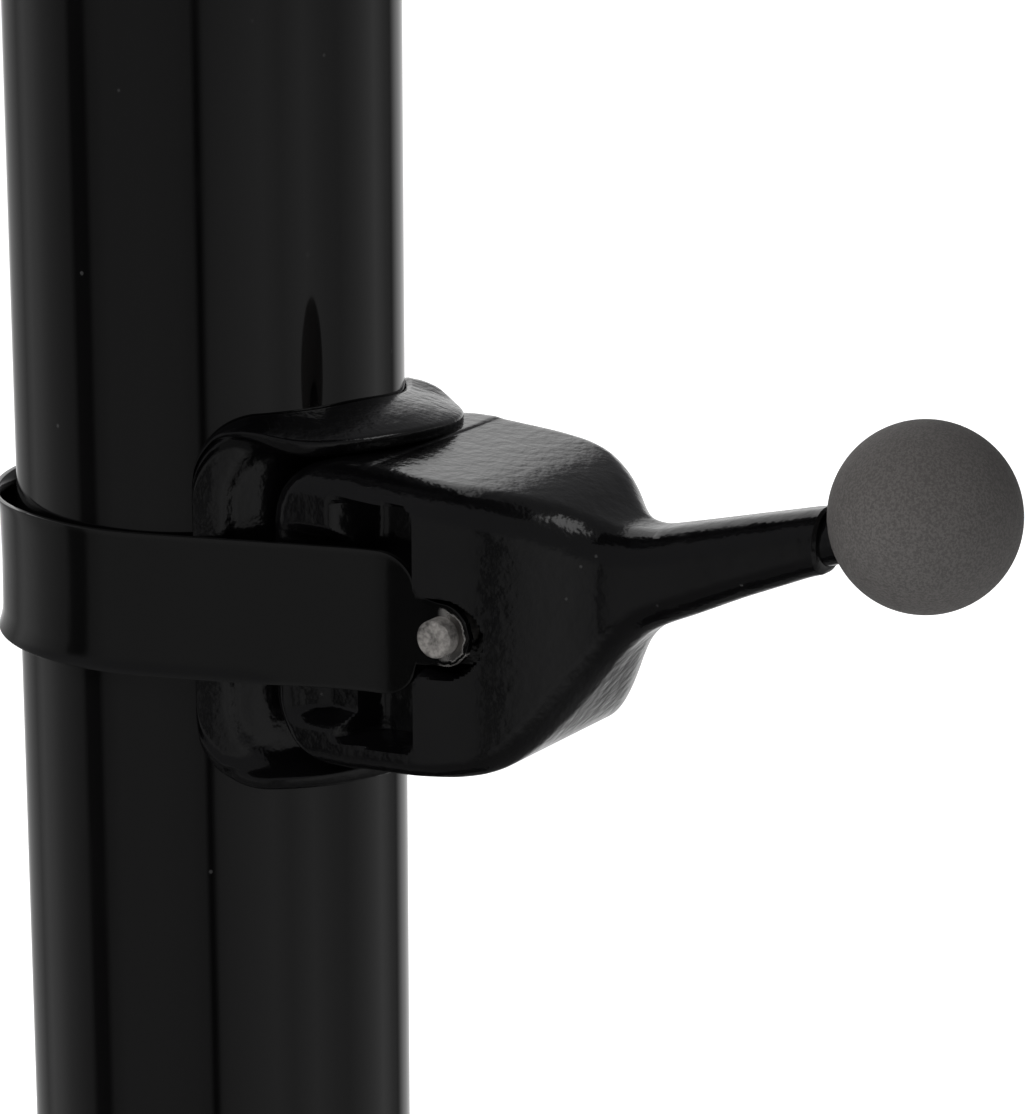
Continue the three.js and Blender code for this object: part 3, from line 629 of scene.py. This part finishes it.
def ring_points(top, bottom, half, upper, lower, sides=110, across=26, turn=11):
    """Points round a rounded rectangle for each row: along the +Y side, over the top, down the -Y side
    and along the foot, with a quarter circle at each corner."""
    quarter = np.linspace(0, math.pi / 2, turn + 2)[1:-1]
    side, flat = np.linspace(-1, 1, sides), np.linspace(1, -1, across)
    runs = []  # across and up as shares of the core, and the angle that the skin faces
    for sign, faces in ((1, 0), (-1, math.pi)):
        runs += [
            (np.full(sides, sign), sign * side, np.full(sides, faces)),
            (np.full(turn, sign), np.full(turn, sign), faces + quarter),
            (sign * flat, np.full(across, sign), np.full(across, faces + math.pi / 2)),
            (np.full(turn, -sign), np.full(turn, sign), faces + quarter + math.pi / 2),
        ]
    y_core, z_core, facing = (np.concatenate(values) for values in zip(*runs))
    middle, tall = (top + bottom)[:, None] / 2, (top - bottom)[:, None] / 2
    corner = lower[:, None] + (upper - lower)[:, None] * (z_core + 1) / 2
    y = y_core * (half[:, None] - corner) + corner * np.cos(facing)
    z = middle + z_core * (tall - corner) + corner * np.sin(facing)
    return y, z


def recess_edge(x, z):
    """Signed distance to the recess's outline in the side view, negative inside it: a rounded box,
    open at the back, blended into a circle about the pin."""
    corner, blend = 1.0, 1.7
    wide, tall = x - RECESS_FRONT + corner, np.abs(z) - RECESS_HEIGHT + corner
    box = np.hypot(np.clip(wide, 0, None), np.clip(tall, 0, None)) + np.minimum(np.maximum(wide, tall), 0)
    box -= corner
    bay = np.hypot(x - PIN_X, z + 0.2) - BAY_RADIUS
    share = np.clip(0.5 + 0.5 * (bay - box) / blend, 0, 1)
    return bay * (1 - share) + box * share - blend * share * (1 - share)


def casting_sections(x):
    """Top, bottom, half width and corner radii at each place along +X, smoothed over about 1 mm."""
    spacing, reach, spread = 0.1, 24, 6.0
    fine = np.arange(9, 60, spacing)

    def smoothed(values):
        padded = np.pad(np.interp(fine, CASTING_SECTIONS[:, 0], values), reach, mode="edge")
        return np.interp(x, fine, np.convolve(padded, bell(reach, spread), "valid"))

    return [smoothed(CASTING_SECTIONS[:, column]) for column in range(1, 6)]


def casting_back(y, z):
    """Where the casting's back edge lies along +X: round-cornered in the side view, hollowed by the
    saddle, and cut back under the saddle's flanges."""
    tall = np.clip((np.abs(z) - BACK_CORNER_START) / BACK_CORNER, 0, 1)
    side_edge = 13.95 + 4.6 * (1 - np.sqrt(1 - tall ** 2))
    hollow_edge = np.sqrt(np.clip(SADDLE_HOLLOW ** 2 - y ** 2, 1, None))
    under_flange = np.sqrt(np.clip(FLANGE_HOLLOW ** 2 - y ** 2, 1, None))
    under_flange *= smoothstep(np.abs(z), 10.9, 12.1)
    return np.maximum(np.maximum(side_edge, hollow_edge), under_flange)


def casting():
    """Rounded rectangles carried along +X, from the cheeks' back edge to the arm's neck. The back edge
    follows the saddle, the side walls sink inside the recess's outline, and behind the back edge the
    skin turns in and runs forward again as the hollow between the cheeks."""
    x = np.concatenate([np.arange(11, 13, 0.1), np.arange(13, 33.4, 0.21), np.arange(33.4, 43, 0.16),
                        np.arange(43, 56.6, 0.6)])
    sections = casting_sections(x)
    y, z = ring_points(*sections)
    x = x[:, None] + 0 * y
    start, whole = x[0, 0], 22  # the rows behind the whole sections are squeezed up to the back edge
    back = casting_back(y, z)
    x = np.where(x < whole, back + (x - start) * (whole - back) / (whole - start), x)
    # a shallow dish under the strap, and the deeper pocket for its tab, in both sides
    beyond_strap = np.where(z > 0, z, -z - 1.6)  # the strap dips in the casting when the lever is down
    dish = DISH_DEPTH * (1 - smoothstep(beyond_strap, 5.9, 7.6))
    dish *= smoothstep(x, 14.4, 18.5) * (1 - smoothstep(x, 21, 24.5))
    pocket = (POCKET_DEPTH - 0.1 * (x - 21)) * (1 - smoothstep(recess_edge(x, z), -0.35, 0.12))
    pocket *= smoothstep(x, 19.4, 22.6)
    on_side = smoothstep(np.abs(y), 8.5, 9.5) * (x < 34)
    y = np.sign(y) * (np.abs(y) - np.maximum(dish, pocket) * on_side)
    # a quarter round along the back edge
    round_off = 1.7
    near = np.clip(1 - (x - back) / round_off, 0, 1)
    bite = round_off * (1 - np.sqrt(1 - near ** 2)) / CHEEK
    y, z = y * (1 - bite), z - np.minimum(z, 0) * bite
    outer = np.stack([x, y, z], -1)
    # the rim and the hollow between the cheeks
    inner_y, inner_z = outer[0, :, 1] * CAVITY[0] / CHEEK, outer[0, :, 2] * CAVITY[1] / CHEEK
    mouth = np.stack([np.sqrt(SADDLE_HOLLOW ** 2 - inner_y ** 2), inner_y, inner_z], -1)
    deep = np.stack([np.full_like(inner_y, CAVITY[2]), inner_y, inner_z], -1)
    # the arm's end and the neck that enters the ball
    last = outer[-1]
    middle = np.array([0, 0, (sections[0][-1] + sections[1][-1]) / 2])
    shoulder = last + [0.5, 0, 0.5 * BALL_RISE]
    edge = (last - middle) * [1, 0.9, 0.9] + middle + [0.75, 0, 0.75 * BALL_RISE]
    radial = (last - middle) * [0, 1, 1]
    spokes = radial / np.linalg.norm(radial, axis=1)[:, None] * NECK
    neck = [spokes + middle + [last[0, 0] + step, 0, step * BALL_RISE] for step in (0.8, 1.4, 3.0)]
    grid = np.stack([deep, 0.5 * (deep + mouth), mouth, *outer, shoulder, edge, *neck]) + [0, 0, PIN_Z]
    add(skin("lever_casting_skin", grid), "lever", CASTING, "lever_casting", slot="casting_gloss_black")


BALL_RADIUS = 7.23
BALL_FROM_PIN = (35.27, 0, 11.8)


def ball():
    """A ball turned about the arm's axis, open at a small bore where the neck goes in, and the
    insert round the bore."""
    start = math.asin((NECK + 0.35) / BALL_RADIUS)
    sweep = np.linspace(math.pi - start, 0, 72)
    distance, height = BALL_RADIUS * np.sin(sweep), BALL_RADIUS * np.cos(sweep)
    bore, bottom, pole = NECK + 0.15, -3.2, 0.001
    lead = [(pole, bottom), (bore, bottom), (bore, 0.25 - BALL_RADIUS * math.cos(start))]
    section = np.vstack([lead, np.stack([distance, height], -1)[:-1], [(pole, BALL_RADIUS)]])
    angle = np.linspace(0, 2 * math.pi, 128, endpoint=False)[None, :]
    off, away = section[:, :1], section[:, 1:]
    local = np.stack([away + 0 * angle, off * np.cos(angle), off * np.sin(angle)], -1)
    lean = np.array(Matrix.Rotation(-math.atan(BALL_RISE), 3, "Y"))
    centre = np.array([PIN_X, 0, PIN_Z]) + BALL_FROM_PIN
    add(skin("ball_knob_skin", local @ lean.T + centre), "lever", BALL, "ball_knob", slot="ball_soft_grey")
    ring = hollow(NECK + 0.2, 2.9, -5.8, 1.7)
    insert = revolved("knob_insert_skin", ring, radius=0.15, sides=64, turn=lean @ ALONG_X, centre=centre)
    add(insert, "lever", BRASS, "knob_insert", slot="brass_insert")


# ---------- Base ----------
def base():
    """Turned shapes: the crowned plate with its socket, the rubber ring under it and the collar."""
    low, high = box_mm("base_plate")
    under, rim, top, out = low[2], low[2] + 8, high[2], high[0]
    socket, seat, hole, well = TUBE_RADIUS + GAP, TUBE_BOTTOM - GAP, 4.3, 15
    profile = [(hole, rim), (well, rim), (well, under), (out, under), (out, rim), (45, rim + 5),
               (36, rim + 6.6), (30.8, rim + 10.5), (27, rim + 22), (25.4, top), (socket, top),
               (socket, seat), (hole, seat)]
    plate = revolved("base_plate_skin", profile, radius=3.2, sides=256, steps=7)
    add(plate, "base", IRON, "base_plate", slot="cast_iron_black")
    low, high = box_mm("floor_ring")
    profile = hollow(high[0] - 16, high[0], low[2], high[2])
    ring = revolved("floor_ring_skin", profile, radius=0.9, sides=256)
    add(ring, "base", RUBBER, "floor_ring", slot="rubber_black")
    low, high = box_mm("base_collar")
    profile = [(socket, low[2]), (high[0], low[2]), (high[0], low[2] + 2), (socket + 2.6, high[2] - 0.8),
               (socket + 1.2, high[2]), (socket, high[2])]
    collar = revolved("base_collar_skin", profile, radius=1.0, sides=160)
    add(collar, "base", NYLON, "base_collar", slot="nylon_black")


# ---------- Head and desk, worked out upright about the tilt bolt's axis ----------
PANEL_FACE, SHEET = -34.0, 1.6
BRACKET_FACE, BRACKET_BACK = -32.1, -29.1
EAR_NEAR, EAR_FAR = 8.8, 11.8
NOSE = 13.0  # radius of the lug's and the ears' round ends


def leaned(points):
    """Points of the upright desk, leaned back about the bolt's axis and put in place."""
    lean = np.array(Matrix.Rotation(-DESK_LEAN, 3, "X"))
    return points @ lean.T + [0, 0, PIVOT_Z]


def slab(outline, near, far, edge=0.6, steps=5):
    """Rings of an outline carried along +Z between two heights, pulled in along its normals by a
    quarter circle of the edge's radius at each end."""
    outline = np.array(outline, float)
    along = np.roll(outline, -1, 0) - np.roll(outline, 1, 0)
    normal = np.stack([along[:, 1], -along[:, 0]], -1) / np.linalg.norm(along, axis=1)[:, None]
    bend = np.linspace(0, math.pi / 2, steps)
    inset = edge * (1 - np.sin(bend))
    depth = edge * (1 - np.cos(bend))
    insets, heights = np.append(inset, inset[::-1]), np.append(near + depth, (far - depth)[::-1])
    flat = outline - normal * insets[:, None, None]
    return np.concatenate([flat, np.broadcast_to(heights[:, None, None], (*flat.shape[:2], 1))], -1)


def rounded_box(half_x, half_y, corner, steps=8):
    """The outline of a rectangle with a quarter circle at each corner."""
    turn = np.linspace(0, math.pi / 2, steps)
    arc = np.column_stack([np.cos(turn), np.sin(turn)]) * corner
    rows = []
    for sx, sy in ((1, 1), (-1, 1), (-1, -1), (1, -1)):
        rows.append(arc + [sx * (half_x - corner), sy * (half_y - corner)])
        arc = arc @ [[0, 1], [-1, 0]]
    return np.vstack(rows)


def tilt_head():
    """A capped sleeve on the column's end, and a round-topped lug across it for the tilt bolt."""
    low, high = box_mm("tilt_head")
    sleeve, wall, seat, cap = INNER_RADIUS + GAP, high[0], INNER_TOP + GAP, INNER_TOP + 4.3
    profile = [(0, seat), (sleeve, seat), (sleeve, low[2]), (wall, low[2]), (wall, cap), (0, cap)]
    sleeve_piece = revolved_solid("tilt_head_skin", profile, radius=2.4, sides=160, steps=7)
    add(sleeve_piece, "mast", CASTING, "tilt_head", slot="casting_gloss_black")
    turn = np.linspace(0, math.pi, 49)
    dome = np.column_stack([np.cos(turn), np.sin(turn)]) * NOSE
    skirt = cap - 1 - PIVOT_Z
    sides = np.linspace(0, skirt, 8)[1:]
    flare = NOSE + 1.6 * (sides / skirt) ** 2
    left = np.column_stack([-flare, sides])
    right = np.column_stack([flare, sides])[::-1]
    lug = slab(np.vstack([dome, left, right]), -7, 7, edge=1.4, steps=7)
    lug = lug @ ALONG_X.T + [0, 0, PIVOT_Z]
    add(skin("tilt_head_lug", lug), "mast", CASTING, slot="casting_gloss_black")


PAN_HALF, PAN_TOP, PAN_CORNER = 250.0, 215.0, 28.0
RIM_FOLD, RIM_BEND = 9.0, 2.2  # how far the rim is folded back, and the radius of the bend
LEDGE_UNDERSIDE, LEDGE_DEPTH, LEDGE_LIP, LEDGE_BEND = -115.0, 56.0, 13.0, 5.0
LEFT_SIDE, LEFT_CORNER, LEFT_TOP = 40, 17, 30  # points along each stretch of half the pan's outline


def pan_outline(inset, foot):
    """The pan's outline pulled in by an inset: up the left side, over the corner, across and down."""
    side, top, corner = PAN_HALF - inset, PAN_TOP - inset, PAN_CORNER - inset
    turn = np.linspace(0, math.pi / 2, LEFT_CORNER)
    rise = np.linspace(foot, top - corner, LEFT_SIDE)
    left = np.column_stack([np.full(LEFT_SIDE, -side), rise])
    arc = np.column_stack([corner - side - corner * np.cos(turn), top - corner + corner * np.sin(turn)])
    across = np.column_stack([np.linspace(corner - side, 0, LEFT_TOP), np.full(LEFT_TOP, top)])
    half = np.vstack([left, arc[1:], across[1:]])
    return np.vstack([half, half[-2::-1] * [-1, 1]])


def pan_grid(middle, foot):
    """Rows of outlines from the rim's free edge round its bend to the face."""
    half_sheet = SHEET / 2
    bend = np.linspace(0, math.pi / 2, 7)
    rim = [(half_sheet, back) for back in np.linspace(RIM_FOLD - half_sheet, RIM_BEND, 4)[:-1]]
    rim += [(half_sheet + RIM_BEND * (1 - math.cos(a)), RIM_BEND * (1 - math.sin(a))) for a in bend]
    outlines = [(pan_outline(inset, foot), middle + back) for inset, back in rim]
    return np.stack([np.column_stack([o[:, 0], np.full(len(o), y), o[:, 1]]) for o, y in outlines])


def ledge_grid(middle, foot):
    """A path down the pan's foot, forward and up the lip, carried from side to side."""
    bend = np.linspace(0, math.pi / 2, 10)
    radius, floor, lip = LEDGE_BEND, SHEET / 2 + LEDGE_UNDERSIDE, middle - LEDGE_DEPTH
    path = np.vstack([
        [[middle, foot]],
        np.column_stack([middle - radius + radius * np.cos(bend), floor + radius - radius * np.sin(bend)]),
        np.column_stack([lip + radius - radius * np.sin(bend), floor + radius - radius * np.cos(bend)]),
        [[lip, floor + LEDGE_LIP - 3], [lip, floor + LEDGE_LIP]],
    ])
    across = np.linspace(SHEET / 2 - PAN_HALF, PAN_HALF - SHEET / 2, 41)
    return np.stack([np.column_stack([across, np.full(41, y), np.full(41, z)]) for y, z in path])


def strips(grid, start):
    """The quads of an open grid whose first point has a given number."""
    number = start + np.arange(grid.shape[0] * grid.shape[1]).reshape(grid.shape[:2])
    here, ahead = number[:-1], number[1:]
    return np.stack([here[:, :-1], ahead[:, :-1], ahead[:, 1:], here[:, 1:]], -1).reshape(-1, 4)


def desk_panel():
    """A pressed sheet. The pan is a round-cornered outline, open at the foot, folded back at its rim,
    its face filled by rungs from side to side; the ledge is a strip carried across on a path."""
    middle, foot = PANEL_FACE + SHEET / 2, SHEET + LEDGE_BEND + LEDGE_UNDERSIDE
    pan, ledge = pan_grid(middle, foot), ledge_grid(middle, foot)
    count = pan.shape[0] * pan.shape[1]
    first, last = count - pan.shape[1], count - 1
    rungs = LEFT_SIDE + LEFT_CORNER - 3
    rung = np.arange(rungs)
    face = np.stack([first + rung + 1, first + rung, last - rung, last - rung - 1], -1)
    top = np.arange(last - rungs, first + rungs - 1, -1)[None, :]
    faces = [strips(pan, 0), strips(ledge, count)[:, ::-1], face, top]
    points = leaned(np.vstack([pan.reshape(-1, 3), ledge.reshape(-1, 3)]))
    piece = mesh_of("desk_panel_skin", points, faces, crease=40)
    thicken = piece.modifiers.new("sheet", "SOLIDIFY")
    thicken.thickness, thicken.offset = SHEET * MM, 0
    soften = piece.modifiers.new("edges", "BEVEL")
    soften.width, soften.segments = 0.35 * MM, 2
    soften.limit_method, soften.angle_limit = "ANGLE", math.radians(50)
    add(piece, "desk", DESK_COAT, "desk_panel", slot="desk_powder_black")


def bracket():
    """The plate behind the desk and its two ears, each a round nose that widens to the plate."""
    plate = slab(rounded_box(38, 48, 8), BRACKET_FACE, BRACKET_BACK, edge=0.8) @ ALONG_Y.T
    plate = skin("desk_bracket_skin", leaned(plate))
    add(plate, "desk", DESK_COAT, "desk_bracket", slot="desk_powder_black")
    turn = np.linspace(-math.pi / 2, math.pi / 2, 41)
    nose = np.column_stack([np.cos(turn), np.sin(turn)]) * NOSE
    flank = np.linspace(0, 1, 12)[1:, None]
    upper = nose[-1] + (np.array([BRACKET_BACK - 1, 40]) - nose[-1]) * flank
    ear = np.vstack([nose, upper, (upper * [1, -1])[::-1]])
    for name, near in (("left", -EAR_FAR), ("right", EAR_NEAR)):
        rings = slab(ear, near, near + EAR_FAR - EAR_NEAR, edge=0.8) @ ALONG_X.T
        add(skin(f"bracket_ear_{name}", leaned(rings)), "desk", DESK_COAT, slot="desk_powder_black")


def rivets():
    """Four rivets with a domed head in front and a flat one behind."""
    back, shank, head = BRACKET_BACK + GAP, 2.4, 4.6
    profile = [(0, PANEL_FACE - 2.1), (2.6, PANEL_FACE - 1.6), (head, PANEL_FACE - GAP),
               (shank, PANEL_FACE - GAP), (shank, back), (head, back), (2.6, back + 1.3), (0, back + 1.8)]
    places = [(sx * 28, sz * 38) for sx in (-1, 1) for sz in (-1, 1)]
    for count, (x, z) in enumerate(places, 1):
        rivet = revolved_solid(f"bracket_rivet_{count}_skin", profile, radius=0.8, sides=48)
        move(rivet, lambda points: leaned(points @ ALONG_Y.T + [x, 0, z]))
        add(rivet, "desk", IRON, f"bracket_rivet_{count}", slot="rivet_black")


def tilt_bolt():
    """A hexagon head with eased edges and a plain shank through the ears, the lug and the knob's nut."""
    hexagon = [(8 * math.cos(a), 8 * math.sin(a)) for a in np.radians(np.arange(0, 360, 60))]
    sides = zip(hexagon, hexagon[1:] + hexagon[:1])
    outline = np.vstack([np.linspace(start, stop, 8, endpoint=False) for start, stop in sides])
    seat, radius, tip = -EAR_FAR - GAP, 4, EAR_FAR + 13.3
    head = slab(outline, seat - 4, seat, edge=0.5) @ ALONG_X.T
    add(skin("tilt_bolt_skin", leaned(head)), "desk", STEEL, "tilt_bolt", slot="steel_bare")
    profile = [(0, seat - 1), (radius, seat - 1), (radius, tip), (0, tip)]
    shank = revolved_solid("tilt_bolt_shank", profile, radius=0.5, sides=64)
    move(shank, lambda points: leaned(points @ ALONG_X.T))
    add(shank, "desk", STEEL, slot="steel_bare")


def move(piece, change):
    """Carries a piece's vertices through a function of points in millimetres."""
    flat = np.empty(len(piece.data.vertices) * 3)
    piece.data.vertices.foreach_get("co", flat)
    points = change(flat.reshape(-1, 3) / MM) * MM
    piece.data.vertices.foreach_set("co", points.ravel())
    piece.data.update()


def tilt_knob():
    """Rings about the bolt: a round hub, then the outline R - d(1 - cos 5a)/2 pulled in at both faces,
    and a shallow round cap."""
    sides, thickness = 200, 17
    near, angle = EAR_FAR + GAP, np.linspace(0, 2 * math.pi, sides, endpoint=False)
    lobed = 18 - 2.6 * (1 - np.cos(5 * angle)) / 2
    hub = np.full(sides, 9.0)
    bend = np.linspace(0, math.pi / 2, 7)
    rows = [(hub - 0.4, 0), (hub, 0.4), (hub, 2.6), (hub + 0.4, 3.0)]
    rows += [(lobed - 2.0 * (1 - math.sin(b)), 3 + 2.0 * (1 - math.cos(b))) for b in bend]
    rows += [(lobed - 2.6 * (1 - math.sin(b)), thickness - 2.6 * (1 - math.cos(b))) for b in bend[::-1]]
    rows += [(hub + 1.2, thickness), (hub + 0.5, 16.8), (hub, 16.2), (hub - 1, 16.0)]
    circle = np.column_stack([np.cos(angle), np.sin(angle)])
    grid = np.stack([np.column_stack([circle * r[:, None], np.full(sides, near + x)]) for r, x in rows])
    piece = skin("tilt_knob_skin", leaned(grid @ ALONG_X.T))
    add(piece, "knob", GREY_GRIP, "tilt_knob", slot="knob_grey")


# ---------- Floor and light ----------
# The studio's brightness by compass direction: degrees round from the front toward +X, and value.
STUDIO = [
    (-180, 0.5), (-165, 0.8), (-150, 1.0), (-135, 0.85), (-122, 0.42), (-97, 0.2), (-88, 0.36), (-78, 0.34),
    (-68, 0.25), (-49, 0.15), (-45, 0.03), (-36, 0.02), (-32, 0.14), (-22, 0.19), (0, 0.203), (20, 0.19),
    (28.5, 0.16), (30.5, 0.015), (33, 0.015), (35.5, 0.2), (41, 0.235), (68, 0.33), (79, 0.28), (94, 0.37),
    (108, 0.27), (118, 0.23), (134, 0.3), (150, 0.38), (162, 0.18), (171, 0.09), (179, 0.45),
]


def pale_floor():
    """A plain white floor that reflections do not show."""
    mesh = bpy.data.meshes.new("floor")
    reach = 30
    corners = [(-reach, -reach, 0), (reach, -reach, 0), (reach, reach, 0), (-reach, reach, 0)]
    mesh.from_pydata(corners, [], [(0, 1, 2, 3)])
    floor = bpy.data.objects.new("floor", mesh)
    bpy.context.collection.objects.link(floor)
    pale = new_material("pale_floor").finish(
        Base_Color=(0.8, 0.8, 0.8), Roughness=1.0, Emission_Color=(1.0, 1.0, 1.0), Emission_Strength=1.0)
    mesh.materials.append(pale)
    floor.visible_glossy = False


def studio():
    """The world: a ring of panels by compass direction, dark far below and dim above it, but for one
    big box at the back on the side away from the lever. The camera itself sees plain white."""
    world = bpy.data.worlds.new("studio")
    bpy.context.scene.world = world
    t = Tree(world)
    x, y, z = t.split(t.node("ShaderNodeTexCoord"))
    turn = x.maths("ARCTAN2", x, y * -1.0) / (2 * math.pi) + 0.5
    stops = [((degrees + 180) / 360, (value, value, value)) for degrees, value in STUDIO]
    ring = t.node("ShaderNodeValToRGB", {"stops": stops}, turn)
    level = t.mix(z.between(-0.8, -0.4), (0.09, 0.09, 0.09), ring)
    big_box = turn.between(0.058, 0.085) * (1 - turn.between(0.19, 0.24))
    overhead = t.mix(big_box, (0.17, 0.17, 0.175), (1.0, 1.0, 1.0))
    reflected = t.mix(z.between(-0.05, 0.15), level, overhead)
    seen_by_camera = t.node("ShaderNodeLightPath")
    t.finish("Background", Color=t.mix(seen_by_camera, reflected, (1.0, 1.0, 1.0)))


def soft_box(name, azimuth, elevation, distance, width, height, power, mirrored=False):
    """A rectangular area light aimed at the clamp, placed by its azimuth (0 in front, 90 on the
    lever's side) and elevation, and kept out of reflections unless mirrored."""
    data = bpy.data.lights.new(name, "AREA")
    data.shape, data.size, data.size_y, data.energy = "RECTANGLE", width, height, power
    light = bpy.data.objects.new(name, data)
    a, e = math.radians(azimuth), math.radians(elevation)
    out = Vector((math.sin(a) * math.cos(e), -math.cos(a) * math.cos(e), math.sin(e)))
    light.location = Vector((0, 0, PIN_Z * MM)) + out * distance
    light.rotation_euler = (-out).to_track_quat("-Z", "Y").to_euler()
    light.visible_glossy = mirrored
    bpy.context.collection.objects.link(light)


column()
saddle()
strap()
pin()
casting()
ball()
base()
tilt_head()
desk_panel()
bracket()
rivets()
tilt_bolt()
tilt_knob()
pale_floor()
studio()
soft_box("key_box", -25, 50, 2.0, 1.2, 1.2, 60)
soft_box("edge_box", 105, 36, 1.3, 0.5, 0.5, 1.3, mirrored=True)
bpy.context.scene.view_settings.view_transform = "Standard"

CARRIED_OVER = {
    STEEL: ("base_bolt", "base_washer", "foot_plug", "head_screw"),
    NYLON: ("slider_bush", "brake_shoe", "friction_disc_left", "friction_disc_right"),
    BRASS: ("tilt_knob_nut",),
}
for material, names in CARRIED_OVER.items():
    for name in names:
        frame["nodes"][name].data.materials.clear()
        frame["nodes"][name].data.materials.append(material)
